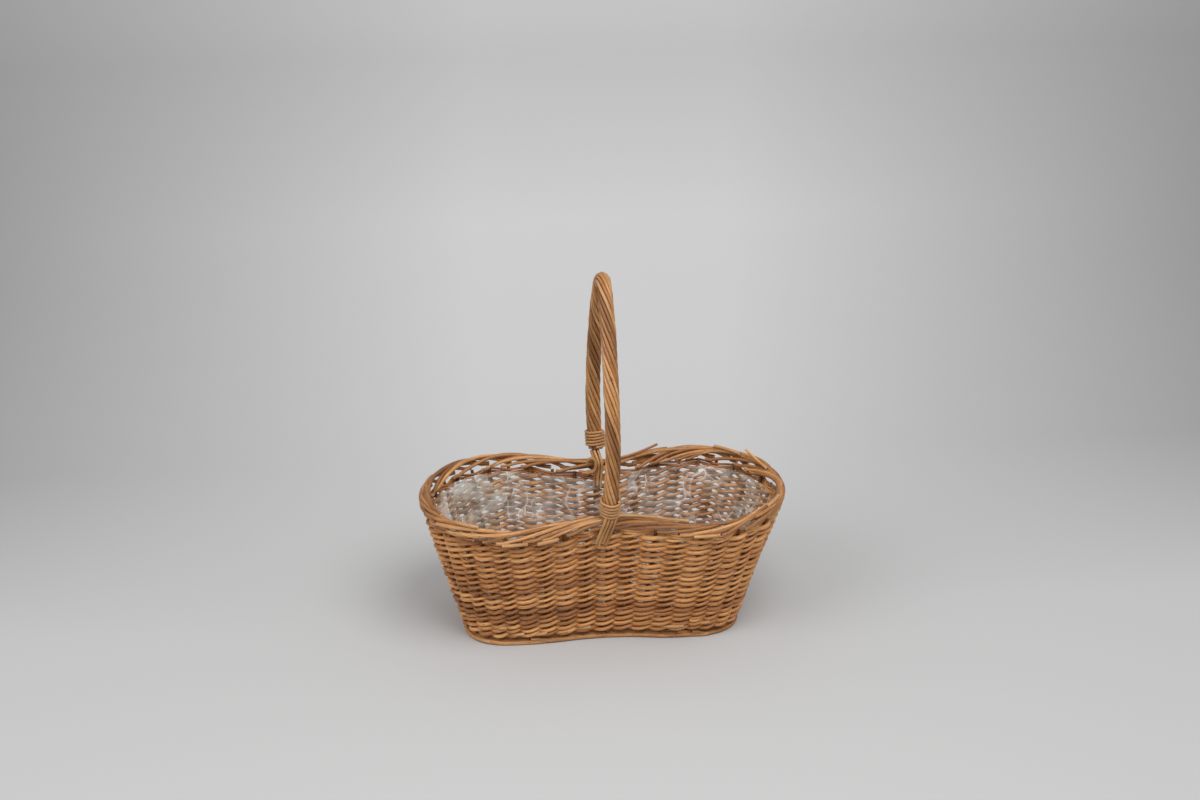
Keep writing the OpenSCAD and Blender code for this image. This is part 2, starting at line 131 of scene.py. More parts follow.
def outward(t, line):
    """Unit normals of a line of points that is a function of t."""
    step = 0.01
    d = line(np.asarray(t) + step) - line(np.asarray(t) - step)
    n = np.stack([d[..., 1], -d[..., 0]], -1)
    return n / np.linalg.norm(n, axis=-1, keepdims=True)


def wall(t, z):
    """Points of the stake line at heights z."""
    k = np.asarray(z, float)[..., None] / WALL_TOP
    return outline(t, FOOT_LINE) * (1 - k) + outline(t, RIM_LINE) * k


def wall_off(t, z, off):
    """Points on the wall, off millimetres outside the stake line, at heights z."""
    t, z, off = np.broadcast_arrays(*(np.asarray(value, float) for value in (t, z, off)))
    n = outward(t, lambda u: wall(u, z))
    p = wall(t, z) + off[..., None] * n
    return np.concatenate([p, z[..., None]], -1)


def border_line(t):
    return outline(t, BORDER_LINE)


def border_top(t, off, z):
    """Points off millimetres outside the middle of the border, at heights z."""
    p = border_line(t) + np.asarray(off, float)[..., None] * outward(t, border_line)
    return np.concatenate([p, np.broadcast_to(z, p.shape[:-1])[..., None]], -1)


def stake_t(u):
    return ROUND * u / STAKES


def smooth(k):
    """A soft step from 0 at k = 0 to 1 at k = 1."""
    c = np.clip(k, 0, 1)
    return c * c * (3 - 2 * c)


def near_to(u, place):
    """1 at a place along a rod, falling to nothing about a stake away from it."""
    reach = 0.4
    return np.exp(-((u - place) / reach) ** 2)


def wobble(u, size, seed):
    """A slow wander along a rod, up to about size."""
    pace, apart = 0.45, 7.3
    spots = [Vector((x * pace, seed * apart, 0.5)) for x in np.atleast_1d(u)]
    return size * np.array([noise.noise(spot) for spot in spots]) * 2


def rods_in_row(first, lengths, overlap, back=0.0):
    """Yields the rods of a row that goes once round: the first stake of each, and the
    stake numbers of its points. A rod is overlap longer than its share of the row, and
    starts back before it."""
    start, last = first, first + STAKES
    while start < last:
        end = min(start + rng.choice(lengths), last)
        count = int((end - start + overlap) * STEPS) + 1
        yield start, np.arange(count) / STEPS + start - back
        start = end


# Rods as meshes
class Rods:
    """Collects rods into one mesh, with a tone for each rod and its grain's coordinates."""

    BARK, CUT_END = 0, 1
    GRAIN_SPREAD = 900

    def __init__(self):
        self.verts, self.faces, self.kinds = [], [], []
        self.tones, self.grains, self.count = [], [], 0

    def add(self, path, radius, ref=(0, 0, 1), sides=10, closed=False, tone=None):
        path = np.asarray(path, float)
        n = len(path)
        radius = np.broadcast_to(np.asarray(radius, float), n)
        if closed:
            run = np.roll(path, -1, 0) - np.roll(path, 1, 0)
        else:
            run = np.gradient(path, axis=0)
        run /= np.linalg.norm(run, axis=1, keepdims=True)
        across = np.cross(run, np.asarray(ref, float))
        across /= np.linalg.norm(across, axis=1, keepdims=True)
        up = np.cross(across, run)
        a = np.arange(sides) * 2 * np.pi / sides
        cos, sin = np.cos(a), np.sin(a)
        ring = cos[None, :, None] * up[:, None] + sin[None, :, None] * across[:, None]
        points = path[:, None] + radius[:, None, None] * ring
        lengths = np.linalg.norm(np.diff(path, axis=0), axis=1)
        along = np.concatenate([[0], np.cumsum(lengths)])
        shift = rng.random() * self.GRAIN_SPREAD
        grain = np.stack([
            np.repeat((along + shift)[:, None], sides, 1),
            radius[:, None] * cos[None] + shift,
            radius[:, None] * sin[None] - shift], -1)
        base = self.count
        for i in range(n if closed else n - 1):
            k = (i + 1) % n
            for j in range(sides):
                m = (j + 1) % sides
                self.faces.append((base + i * sides + j, base + i * sides + m,
                                   base + k * sides + m, base + k * sides + j))
                self.kinds.append(self.BARK)
        self.verts.append(points.reshape(-1, 3))
        self.grains.append(grain.reshape(-1, 3))
        self.count += n * sides
        tone = rng.random() if tone is None else tone
        self.tones.append(np.full(n * sides, tone))
        if closed:
            return
        for i in (0, n - 1):
            # a cap has its own points, so that its rim stays sharp
            self.verts.append(points[i])
            self.grains.append(grain[i])
            self.tones.append(np.full(sides, tone))
            cap = tuple(self.count + j for j in range(sides))
            self.faces.append(cap[::-1] if i == 0 else cap)
            self.kinds.append(self.CUT_END)
            self.count += sides

    def build(self, name, material, slot, nodes=()):
        mesh = bpy.data.meshes.new(name)
        mesh.from_pydata((np.concatenate(self.verts) * MM).tolist(), [], self.faces)
        mesh.materials.append(material)
        mesh.materials.append(cut)
        mesh.polygons.foreach_set("material_index", self.kinds)
        mesh.polygons.foreach_set("use_smooth", [kind == self.BARK for kind in self.kinds])
        tone = mesh.attributes.new("tone", "FLOAT", "POINT")
        tone.data.foreach_set("value", np.concatenate(self.tones))
        grain = mesh.attributes.new("grain", "FLOAT_VECTOR", "POINT")
        grain.data.foreach_set("vector", (np.concatenate(self.grains) * MM).ravel())
        return place(mesh, name, slot, nodes)


def place(mesh, name, slot, nodes=()):
    """Puts a mesh in the scene as a piece that rides on the basket's one body."""
    mesh.validate()
    mesh.update()
    piece = bpy.data.objects.new(name, mesh)
    bpy.context.scene.collection.objects.link(piece)
    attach(piece, "root")
    if nodes:
        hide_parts(*nodes)
    return piece


# Materials
class Nodes:
    """Short names for making a material's nodes."""

    def __init__(self, name):
        self.material = bpy.data.materials.new(name)
        self.material.use_nodes = True
        self.tree = self.material.node_tree
        self.shader = self.tree.nodes["Principled BSDF"]

    def new(self, kind, **values):
        node = self.tree.nodes.new("ShaderNode" + kind)
        for key, value in values.items():
            setattr(node, key, value)
        return node

    def link(self, a, b):
        self.tree.links.new(a, b)

    def feed(self, value, socket):
        """Links an output to a socket, or sets a plain number on it."""
        if isinstance(value, float):
            socket.default_value = value
        else:
            self.link(value, socket)

    def where(self):
        return self.new("TexCoord").outputs["Object"]

    def noise(self, vector, scale, detail, rough=0.5):
        node = self.new("TexNoise")
        node.inputs["Scale"].default_value = scale
        node.inputs["Detail"].default_value = detail
        node.inputs["Roughness"].default_value = rough
        self.link(vector, node.inputs["Vector"])
        return node.outputs["Fac"]

    def cells(self, vector, feature, output):
        node = self.new("TexVoronoi", feature=feature)
        node.inputs["Scale"].default_value = 1.0
        self.link(vector, node.inputs["Vector"])
        return node.outputs[output]

    def stretched(self, vector, scales):
        node = self.new("Mapping")
        node.inputs["Scale"].default_value = scales
        self.link(vector, node.inputs["Vector"])
        return node.outputs["Vector"]

    def ramp(self, factor, stops):
        node = self.new("ValToRGB")
        for k, (position, colour) in enumerate(stops):
            if k < 2:
                element = node.color_ramp.elements[k]
                element.position = position
            else:
                element = node.color_ramp.elements.new(position)
            element.color = (*colour, 1)
        self.link(factor, node.inputs["Fac"])
        return node.outputs["Color"]

    def greys(self, factor, *stops):
        return self.ramp(factor, [(position, (grey, grey, grey)) for position, grey in stops])

    def mix(self, mode, factor, a, b):
        node = self.new("MixRGB", blend_type=mode)
        self.feed(factor, node.inputs["Fac"])
        self.link(a, node.inputs["Color1"])
        self.link(b, node.inputs["Color2"])
        return node.outputs["Color"]

    def math(self, operation, *values):
        node = self.new("Math", operation=operation)
        for value, socket in zip(values, node.inputs):
            self.feed(value, socket)
        return node.outputs["Value"]

    def colour(self, output):
        self.link(output, self.shader.inputs["Base Color"])

    def bump(self, height, strength, distance):
        node = self.new("Bump")
        node.inputs["Strength"].default_value = strength
        node.inputs["Distance"].default_value = distance
        self.link(height, node.inputs["Height"])
        self.link(node.outputs["Normal"], self.shader.inputs["Normal"])


def willow(name, stops, rough, on_rods=True):
    """Willow bark: streaks along the rod, patches, dark specks and a low gloss."""
    n = Nodes(name)
    if on_rods:
        grain = n.new("Attribute", attribute_name="grain").outputs["Vector"]
        tone = n.new("Attribute", attribute_name="tone").outputs["Fac"]
    else:
        grain = n.where()
        tone = n.noise(grain, 40, 2)
    patches = n.noise(n.stretched(grain, (22, 90, 90)), 1.0, 3)
    streaks = n.noise(n.stretched(grain, (60, 1100, 1100)), 1.0, 4, 0.65)
    specks = n.noise(n.stretched(grain, (260, 620, 620)), 1.0, 2)
    base = n.ramp(n.mix("MIX", 0.38, tone, patches), stops)
    shade = n.ramp(streaks, [(0.3, (0.42, 0.38, 0.36)), (0.68, (1.25, 1.24, 1.2))])
    base = n.mix("MULTIPLY", 0.85, base, shade)
    dark = n.ramp(specks, [(0.62, (1, 1, 1)), (0.70, (0.36, 0.30, 0.26))])
    n.colour(n.mix("MULTIPLY", 0.8, base, dark))
    n.shader.inputs["Roughness"].default_value = rough
    n.shader.inputs["Specular IOR Level"].default_value = 0.42
    n.bump(streaks, 0.5, 0.0005)
    return n.material


def cut_wood():
    """The pale wood of a cut end."""
    n = Nodes("cut_wood")
    fibres = n.noise(n.where(), 900, 3)
    n.colour(n.ramp(fibres, [(0.3, (0.50, 0.31, 0.15)), (0.7, (0.78, 0.58, 0.36))]))
    n.shader.inputs["Roughness"].default_value = 0.8
    n.bump(fibres, 0.4, 0.0003)
    return n.material


def film():
    """Clear film, seen by painted reflection: facets with painted glare of different strengths,
    and painted white highlights along the creases between.
    """
    n = Nodes("clear_film")
    where = n.where()
    warp = n.new("TexNoise")
    warp.inputs["Scale"].default_value = 16
    n.link(where, warp.inputs["Vector"])
    bent = n.new("VectorMath", operation="MULTIPLY_ADD")
    n.link(warp.outputs["Color"], bent.inputs[0])
    bent.inputs[1].default_value = (0.09, 0.09, 0.09)
    n.link(where, bent.inputs[2])
    folded = n.stretched(bent.outputs["Vector"], (46, 46, 24))
    crumples = n.noise(folded, 1.0, 3, 0.5)
    facets = n.cells(folded, "F1", "Color")
    edges = n.cells(folded, "DISTANCE_TO_EDGE", "Distance")
    # painted reflection: each facet is made seen by a different amount of glare
    glare = n.greys(facets, (0.2, 0.20), (0.5, 0.36), (0.62, 0.50), (0.8, 0.66))
    glare = n.mix("MULTIPLY", 0.7, glare, n.greys(crumples, (0.3, 0.3), (0.65, 1)))
    # painted highlights: white along the creases between facets
    creases = n.greys(edges, (0.0, 0.95), (0.07, 0.1))
    creases = n.mix("MULTIPLY", 1.0, creases, n.greys(crumples, (0.35, 0.15), (0.6, 1)))
    seen = n.mix("LIGHTEN", 1.0, glare, creases)
    # patches where the painted glare is stronger or weaker
    strength = n.greys(n.noise(where, 13, 2), (0.36, 0.48), (0.54, 1.0))
    n.link(n.mix("MULTIPLY", 1.0, seen, strength), n.shader.inputs["Alpha"])
    # the colour runs from the film's grey-green to the white of painted highlights
    n.colour(n.ramp(crumples, [(0.36, (0.48, 0.50, 0.42)), (0.60, (0.90, 0.91, 0.88))]))
    n.shader.inputs["Roughness"].default_value = 0.1
    n.shader.inputs["Specular IOR Level"].default_value = 1.0
    n.bump(crumples, 0.8, 0.003)
    return n.material


def steel():
    """Drawn wire."""
    n = Nodes("staple_wire")
    drawn = n.noise(n.stretched(n.where(), (400, 400, 2400)), 1.0, 2)
    n.colour(n.ramp(drawn, [(0.3, (0.55, 0.56, 0.58)), (0.7, (0.78, 0.79, 0.8))]))
    n.shader.inputs["Metallic"].default_value = 1.0
    n.shader.inputs["Roughness"].default_value = 0.28
    return n.material


BROWN = [(0.0, (0.17, 0.058, 0.017)), (0.35, (0.43, 0.172, 0.052)),
         (0.65, (0.66, 0.31, 0.105)), (1.0, (0.88, 0.50, 0.21))]
DARK = [(0.0, (0.10, 0.036, 0.012)), (0.5, (0.20, 0.078, 0.025)), (1.0, (0.34, 0.15, 0.052))]
RIMS = [(0.0, (0.15, 0.055, 0.017)), (0.4, (0.39, 0.17, 0.056)),
        (0.7, (0.58, 0.285, 0.105)), (1.0, (0.80, 0.46, 0.21))]
PALE = [(0.0, (0.27, 0.115, 0.038)), (0.4, (0.46, 0.225, 0.08)), (1.0, (0.66, 0.38, 0.17))]

bark = willow("willow_bark", BROWN, 0.42)
# painted shade: the stakes' bark is darkened to stand for the shade of the recesses behind the
# rows
bark_painted_shade = willow("willow_bark_painted_shade", DARK, 0.5)
bark_foot = willow("willow_foot_bark", RIMS, 0.5)
bark_rim = willow("willow_border_bark", RIMS, 0.4)
bark_pale = willow("willow_pale_bark", PALE, 0.4)
bark_solid = willow("willow_bark_solid", DARK, 0.55, on_rods=False)
cut = cut_wood()


# Foot, base and stakes
def foot():
    """Three lines of rods side by side. Each rod's start lies raised on the end of the
    one before."""
    raised, steep, swell, outer_in = 3.4, 9, 1.1, 0.9
    rods = Rods()
    for k in range(FOOT_RODS):
        off = FOOT_INSET - k * (FOOT_ROD_W + GAP) - FOOT_ROD_W / 2
        for start, u in rods_in_row(rng.randrange(0, STAKES), (9, 11, 13), overlap=1.2):
            s = (u - u[0]) / (u[-1] - u[0])
            r = FOOT_ROD_H / 2 * rng.uniform(0.86, 0.97) * (1 + wobble(u, 0.06, k + 3))
            z = r + CLEAR + raised * smooth(1 - s * steep)
            z = z + swell * np.abs(wobble(u, 0.6, k + start))
            side = off + wobble(u, 0.7, start + 11) - (outer_in if k == 0 else 0)
            rods.add(wall_off(stake_t(u), z, side), r, sides=12)
    rods.build("foot_rods", bark_foot, "willow_dark",
               ["foot_rod_outer", "foot_rod_middle", "foot_rod_inner"])


def base_weave():
    """Rods that pass over and under the base sticks, ring inside ring."""
    half, edge, slimmer = STAKES // 2, 1, 0.97
    sticks = [0, *range(1, half, 2), half, *range(half + 1, STAKES, 2), STAKES]
    phase = np.interp(ALL_ROUND, sticks, np.arange(len(sticks)))
    first = FOOT_INSET + GAP + edge
    bundle = (LONG_STICKS * STICK_D + (LONG_STICKS - 1) * GAP) / 2
    pitch = (FOOT_LINE.waist - first - BASE_ROD - bundle) / (BASE_RODS - 0.5)
    swing = (STICK_D + BASE_ROD) / 2 + CLEAR
    rods = Rods()
    for k in range(2 * BASE_RODS):
        line = FOOT_LINE.inset(first + k * pitch / 2 + BASE_ROD / 2)
        z = STICK_Z + STICK_D / 2 + swing * np.cos(np.pi * (phase + k))
        path = np.concatenate([outline(stake_t(ALL_ROUND), line), z[:, None]], 1)
        rods.add(path, BASE_ROD / 2 * slimmer, closed=True)
    rods.build("base_weaving", bark, "willow", ["base_weave_lower", "base_weave_upper"])


def stakes():
    """Upright rods that taper to the border, except where a leg of the bow stands."""
    points, taper, above_sticks, past_top = 12, 0.1, 0.8, 1.2
    rods = Rods()
    for i in range(STAKES):
        if i % (STAKES // 2) == STAKES // 4:
            continue
        z = np.linspace(STICK_Z + above_sticks, WALL_TOP + past_top, points)
        path = wall_off(np.full(points, stake_t(i)), z, 0)
        rods.add(path, STAKE_D / 2 * (1 - taper * (z / WALL_TOP)), ref=(1, 0.02, 0))
    # the stakes' dark bark is painted shade of the recesses behind the rows
    rods.build("stakes", bark_painted_shade, "willow_dark",
               ["stakes_back_right", "stakes_back_left",
                "stakes_front_left", "stakes_front_right"])


def bow_d_at(z):
    return BOW_TIP_D + (BOW_D - BOW_TIP_D) * np.clip(z / WALL_TOP, 0, 1)


def post_r(u, z):
    """Radius of what a row passes at stake number u: a stake, or a leg of the bow."""
    near = np.abs(np.mod(u + STAKES / 4, STAKES / 2))
    near = np.minimum(near, STAKES / 2 - near)
    return STAKE_D / 2 + (bow_d_at(z) - STAKE_D) / 2 * smooth(1 - near)


# Wall
def weaving():
    """Rows of rods whose ends are tucked in. Beside each rod runs a thinner one, which
    passes in front of the stakes that the first one passes behind."""
    slope, thin_slope, level_h = 1.2, 2.0, 2.9
    tuck, thin_tuck, thinner = 1.2, 0.5, 0.15
    for k in range(WEAVE_ROWS):
        rods = Rods()
        z0 = WEAVE_Z + k * WEAVE_PITCH + WEAVE_ROD / 2
        first = rng.randrange(0, STAKES, 2)
        for start, u in rods_in_row(first, (8, 10, 12, 14), overlap=0.7, back=0.35):
            r = WEAVE_ROD / 2 * rng.uniform(1.22, 1.40)
            tone = rng.uniform(0.12, 0.9)
            turn = np.pi * (u - STAKES * 3 / 4)
            side, slant = np.cos(turn), np.sin(turn)
            post = post_r(np.mod(u, STAKES), z0)
            ends = near_to(u, u[0]) + near_to(u, u[-1])
            off = side * (post + r + CLEAR) - tuck * ends
            z = z0 + slope * slant + wobble(u, 0.8, k + start) + rng.uniform(-0.2, 0.2)
            radius = r * (1 + wobble(u, 0.07, k + 50))
            rods.add(wall_off(stake_t(u), z, off), radius, tone=tone)
            # the top row has more thin rods, which fill the wall up to the border
            for level in range(3 if k == WEAVE_ROWS - 1 else 1):
                thin = rng.uniform(1.45, 1.7) - thinner * level
                beside = -side * (post + thin + CLEAR) - thin_tuck * ends
                rise = level_h * level - thin_slope * slant * (level == 0)
                rise = rise + wobble(u, 0.4, k + start + 31)
                thin_tone = tone + rng.uniform(-0.1, 0.08)
                rods.add(wall_off(stake_t(u), z0 + rise, beside), thin, sides=8,
                         tone=thin_tone)
        rods.build(f"weaving_row_{k + 1:02d}", bark, "willow", [f"weave_row_{k + 1:02d}"])


def waling():
    """Pairs of thick rods that cross between the stakes."""
    twist, lowest = 1.5, WALE_Z - 3.2
    for k in range(WALE_ROWS):
        rods = Rods()
        z0 = WALE_Z + k * WALE_PITCH + WALE_ROD / 2
        for side in (1, -1):
            first = rng.randrange(0, STAKES)
            for start, u in rods_in_row(first, (7, 9, 12), overlap=0.9, back=0.45):
                r = WALE_ROD / 2 * rng.uniform(0.86, 1.0)
                turn = np.pi * (u + k)
                post = post_r(np.mod(u, STAKES), z0)
                off = side * np.cos(turn) * (post + r + CLEAR) + near_to(u, u[0])
                z = z0 + side * twist * np.sin(turn) + wobble(u, 0.9, k + start)
                z = np.maximum(z, lowest + r)
                rods.add(wall_off(stake_t(u), z, off), r * (1 + wobble(u, 0.06, k)))
        rods.build(f"waling_row_{k + 1}", bark, "willow_dark", [f"wale_row_{k + 1}"])


# Border
def border():
    """One rod from each stake, and a few strays. A rod leaves the wall low on the
    outside, climbs over the border as it runs along, and ends low on the inside. A
    stray lies over the top."""
    points, strays, taper, seat, wander = 60, 9, 0.14, 0.6, 0.9
    sweep, early, fullness = 1.12, 0.06, 0.8
    stray_rise, start_dip, steep = 1.2, 0.8, 8
    bow_room, bow_reach, lean = 2.6, 12, 0.9
    column = (BORDER_T - BORDER_D) / 2 + 0.25
    groups = [Rods(), Rods()]
    for i in range(STAKES + strays):
        s = np.linspace(0, 1, points)
        stray = i >= STAKES
        first = rng.uniform(0, STAKES) if stray else i + rng.uniform(-0.25, 0.25)
        u = first + s * rng.uniform(5.0, 8.2)
        k = np.clip(s + rng.uniform(-0.35, 0.35) * s * (1 - s), 0, 1)
        r = BORDER_D / 2 * rng.uniform(0.8, 1.03) * (1 - taper * s)
        # the section's path: up the outer face, over the top, down the inner face
        angle = np.pi * (k * sweep - early)
        if stray:
            angle = np.pi * (0.3 + 0.35 * k * rng.choice((-1, 1)))
        swell = rng.uniform(0.0, 0.3)
        off = column * np.cos(angle) * (1 + swell * np.sin(angle) ** 2)
        high = np.sin(np.clip(angle, 0, np.pi)) ** fullness
        z = RIM_H - BORDER_H + r + seat + (BORDER_H - 2 * r - seat + stray_rise * stray) * high
        z -= start_dip * smooth(1 - s * steep)
        # the rods part round the legs of the bow, and the border leans out with the wall
        t = stake_t(u)
        part = bow_room * np.exp(-(border_line(t)[:, 0] / bow_reach) ** 2)
        off = off + part * np.tanh(off / 1.2) - BORDER_LEAN * (RIM_H - z) * lean
        off += wobble(u, wander, i)
        groups[i % 2].add(border_top(t, off, z + wobble(u, wander, i + 90)), r, sides=12)
    groups[0].build("border_rods_a", bark_rim, "willow_pale",
                    ["border_outer_1", "border_outer_2", "border_outer_3"])
    groups[1].build("border_rods_b", bark_rim, "willow",
                    ["border_inner_1", "border_inner_2", "border_inner_3"])


# Handle
BOW_FOOT_Z = RIM_H - BORDER_D / 2
BOW_FOOT_Y = RIM.waist - BORDER_T / 2
ARCH_H = CROWN_H - BOW_FOOT_Z


def arch_point(w):
    """The bow's centre line, from the front foot at w = -1 to the back foot at 1."""
    w = np.asarray(w, float)
    y = w * (CROWN_W * (1 - w * w) + BOW_FOOT_Y * w * w + LEG_SWELL * w * w * (1 - w * w))
    z = CROWN_H - w * w * ARCH_H
    x = -y * math.tan(math.radians(BOW_TURN)) * smooth((z - BOW_FOOT_Z) / (ARCH_H / 3))
    return np.stack([x, y, z], -1)


FINE = np.linspace(-1, 1, 801)
FINE_RUNS = np.linalg.norm(np.diff(arch_point(FINE), axis=0), axis=1)
RUNS = np.concatenate([[0], np.cumsum(FINE_RUNS)])
ARCH_LEN = RUNS[-1]


def arch_at(s):
    """The bow's centre line at s millimetres along it."""
    return arch_point(np.interp(s, RUNS, FINE))


def leg_s(z, side):
    """How far along the bow it passes height z, in front for side -1, behind for 1."""
    return float(np.interp(side * math.sqrt((CROWN_H - z) / ARCH_H), FINE, RUNS))


STRAND_R = max((BOW_D + STRAND_D) / 2 + GAP,
               (STRAND_D * STRAND_ROOM + GAP) / 2 / math.sin(math.pi / STRANDS))
LASH_R = STRAND_R + STRAND_D / 2 + GAP + LASH_D / 2
STRAND_FROM = leg_s(RIM_H + STRAND_R * 0.4 + GAP, -1)
STRAND_TO = leg_s(RIM_H + LASH_BACK_H - 1, 1)


def round_bow(s, r, turn):
    """A point r from the bow's centre line, turned round it, in radians."""
    s = np.asarray(s, float)
    run = arch_at(np.minimum(s + 0.5, ARCH_LEN)) - arch_at(np.maximum(s - 0.5, 0))
    run /= np.linalg.norm(run, axis=-1, keepdims=True)
    across = np.cross(run, (1.0, 0, 0))
    across /= np.linalg.norm(across, axis=-1, keepdims=True)
    up = np.cross(across, run)
    r, turn = np.broadcast_arrays(np.asarray(r, float), np.asarray(turn, float))
    spoke = np.cos(turn)[..., None] * across + np.sin(turn)[..., None] * up
    return arch_at(s) + r[..., None] * spoke


def handle():
    """Rods wound side by side along the bow. Every third one is paler."""
    points, fuller, uneven, turn_wander, side_wander, swell = 190, 1.03, 0.06, 0.05, 0.22, 0.04
    s = np.linspace(STRAND_FROM, STRAND_TO, points)
    for k in range(STRANDS):
        turn = 2 * np.pi * (k / STRANDS + STRAND_TURNS * s / ARCH_LEN)
        turn = turn + wobble(s / 22, turn_wander, k)
        r = STRAND_D / 2 * (fuller + uneven * math.sin(k * 2.4))
        r = r * (1 + wobble(s / 30, swell, k + 20))
        path = round_bow(s, STRAND_R + wobble(s / 25, side_wander, k + 40), turn)
        rods = Rods()
        rods.add(path, r, ref=(1, 0, 0), sides=12)
        rods.build(f"wound_rod_{k + 1:02d}", bark_rim if k % 3 else bark_pale,
                   "willow" if k % 3 else "willow_pale", [f"handle_strand_{k + 1:02d}"])


def winding(z_foot, side, end):
    """A lashing's turns round one leg, down to z_foot, ending at end degrees."""
    points = 40
    left = LASH_TURNS - np.arange(LASH_TURNS * points + 1) / points
    s = leg_s(z_foot + LASH_D / 2, side)
    return round_bow(s - side * LASH_PITCH * left, LASH_R, math.radians(end) + 2 * np.pi * left)


def curve(points, count):
    """A smooth run through a few chosen points."""
    p = np.asarray(points, float)
    p = np.vstack([2 * p[0] - p[1], p, 2 * p[-1] - p[-2]])
    out = []
    for i in range(1, len(p) - 2):
        for u in np.linspace(0, 1, count, endpoint=i == len(p) - 3):
            out.append(0.5 * (2 * p[i] + (p[i + 1] - p[i - 1]) * u
                              + (2 * p[i - 1] - 5 * p[i] + 4 * p[i + 1] - p[i + 2]) * u * u
                              + (3 * p[i] - p[i - 1] - 3 * p[i + 1] + p[i + 2]) * u ** 3))
    return np.array(out)


def lashings():
    """The front lashing ends in a run along the border, and the back one starts in a
    short stub."""
    front_end, back_end = 125, 0
    lead, step_t, step_x = 0.02, 0.036, 2.6
    r = LASH_D / 2 * 1.05
    front = winding(RIM_H + LASH_FRONT_H, -1, front_end)
    k = np.arange(1, 9)
    t = FRONT_WAIST + lead + step_t * k
    on_border = border_top(t, np.zeros(len(k)), RIM_H + LASH_D / 2 + GAP)
    off_bow = front[-1] + np.outer(step_x * k, (1, 0, 0))
    near = (1 - smooth(k / 4))[:, None]
    end = curve(np.vstack([front[-1], off_bow * near + on_border * (1 - near)]), 5)
    rods = Rods()
    rods.add(np.vstack([front, end[1:]]), r, sides=12, tone=0.75)
    rods.build("front_lashing", bark_pale, "willow_pale", ["lashing_front"])
    back = winding(RIM_H + LASH_BACK_H, 1, back_end)
    stub = np.array([back[0] + np.array((2.4, 0.1, 0.2)) * k for k in (3, 2, 1)])
    rods = Rods()
    rods.add(np.vstack([stub, back]), r, sides=12, tone=0.6)
    rods.build("back_lashing", bark_pale, "willow_pale", ["lashing_back"])


def tails():
    """Rod ends brought down below each lashing."""
    out, spread = BORDER_T / 2 + GAP + TAIL_D / 2 + 2.2, 1.06
    front_y, back_y, r = -BOW_FOOT_Y - out, BOW_FOOT_Y - out, TAIL_D / 2 * 0.98
    slant, lean = 9 / TAIL_LEN, (1.5, 0.4, 2.0, 3.4)
    rods = Rods()
    for k in range(TAILS):
        x = (k - (TAILS - 1) / 2) * (TAIL_D + GAP) * spread + 1
        heights = (RIM_H + 2, RIM_H - 4, RIM_H - 12, RIM_H - TAIL_LEN - k % 2 * 2)
        points = [(x - slant * (RIM_H + 2 - z), front_y + d, z) for z, d in zip(heights, lean)]
        rods.add(curve(points, 6), r, ref=(1, 0, 0), sides=12)
    rods.build("front_rod_ends", bark_pale, "willow_pale", ["handle_tails_front"])
    rods = Rods()
    for k in range(TAILS - 1):
        x = (k - (TAILS - 1) / 2) * (TAIL_D + GAP) * spread + TAIL_D
        turn = (k - (TAILS - 1) / 2) * 2 * math.pi / STRANDS
        top = round_bow(STRAND_TO + TAIL_D / 2, STRAND_R + GAP, turn)
        low = RIM_H - TAIL_LEN + k % 2 * 2
        points = [top, (x, back_y, RIM_H + 1), (x, back_y, RIM_H - 6),
                  (x - 1, back_y - 0.6, low + 8), (x - 1.4, back_y - 1.6, low)]
        rods.add(curve(points, 6), r, ref=(1, 0, 0), sides=12)
    # one end has curled up on itself
    curl_x, curl_w, curl_h, drift = -6, 4.6, 7.5, 0.5
    a = np.linspace(0, 1.55 * np.pi, 26)
    curl = np.stack([curl_x - curl_w * np.cos(a), back_y - a * drift,
                     RIM_H - 1 + curl_h * np.sin(a)], -1)
    rods.add(curl, TAIL_D / 2, ref=(0, 1, 0), sides=12)
    rods.build("back_rod_ends", bark_pale, "willow_pale", ["handle_tails_back"])


def loose_rods():
    """Two ends that have sprung up from the inner side of the border's top."""
    points, seat, taper = 26, RIM_H + TAIL_D / 2 - 1.0, 0.03
    inner = np.full(points, -(BORDER_T - BORDER_D) / 2)
    for name, start, step, rise in (("back", 0.94, -0.033, 0.2), ("right", 0.13, 0.026, 0.22)):
        k = np.linspace(0, 6, points)
        path = border_top(start + step * k, inner, seat + GAP + rise * k * k)
        rods = Rods()
        rods.add(path, TAIL_D / 2 * (1 - taper * k), sides=12)
        rods.build(f"loose_end_{name}", bark, "willow", [f"loose_rod_{name}"])


def cut_ends():
    """Butts of rods that show low on the wall and at the border, where the photo has them."""
    wall_r, border_r = 1.75, 1.8
    rods = Rods()
    k = np.linspace(0, 1, 8)
    # on the wall: the middle in t, the height, and the length in t
    for t, z, run in ((2.56, 12, 0.09), (2.68, 11, 0.07), (2.79, 10, 0.05), (2.90, 12, 0.06),
                      (3.32, 13, 0.12), (3.18, 74, 0.08), (2.46, 20, 0.08), (3.5, 16, 0.07)):
        path = wall_off(t + run * (k - 0.5), z + 3 * k, 5.6 - 5.0 * (1 - k) ** 2)
        rods.add(path, wall_r, sides=12, tone=0.7)
    # on the border: the start and the length in t, the height, and how far out
    for t, run, z, off in ((2.56, 0.1, 128, 4.4), (2.7, 0.08, 127, 4.2), (3.33, 0.1, 129, 4.6),
                           (2.33, 0.12, 143, 1.0), (0.33, 0.14, 142.5, -2.5),
                           (3.72, 0.1, 142.6, 0.5)):
        path = border_top(t + run * k, off + 1.2 * k, z + 1.5 * k)
        rods.add(path, border_r, sides=12, tone=0.8)
    rods.build("rod_butts", bark_pale, "willow_pale")


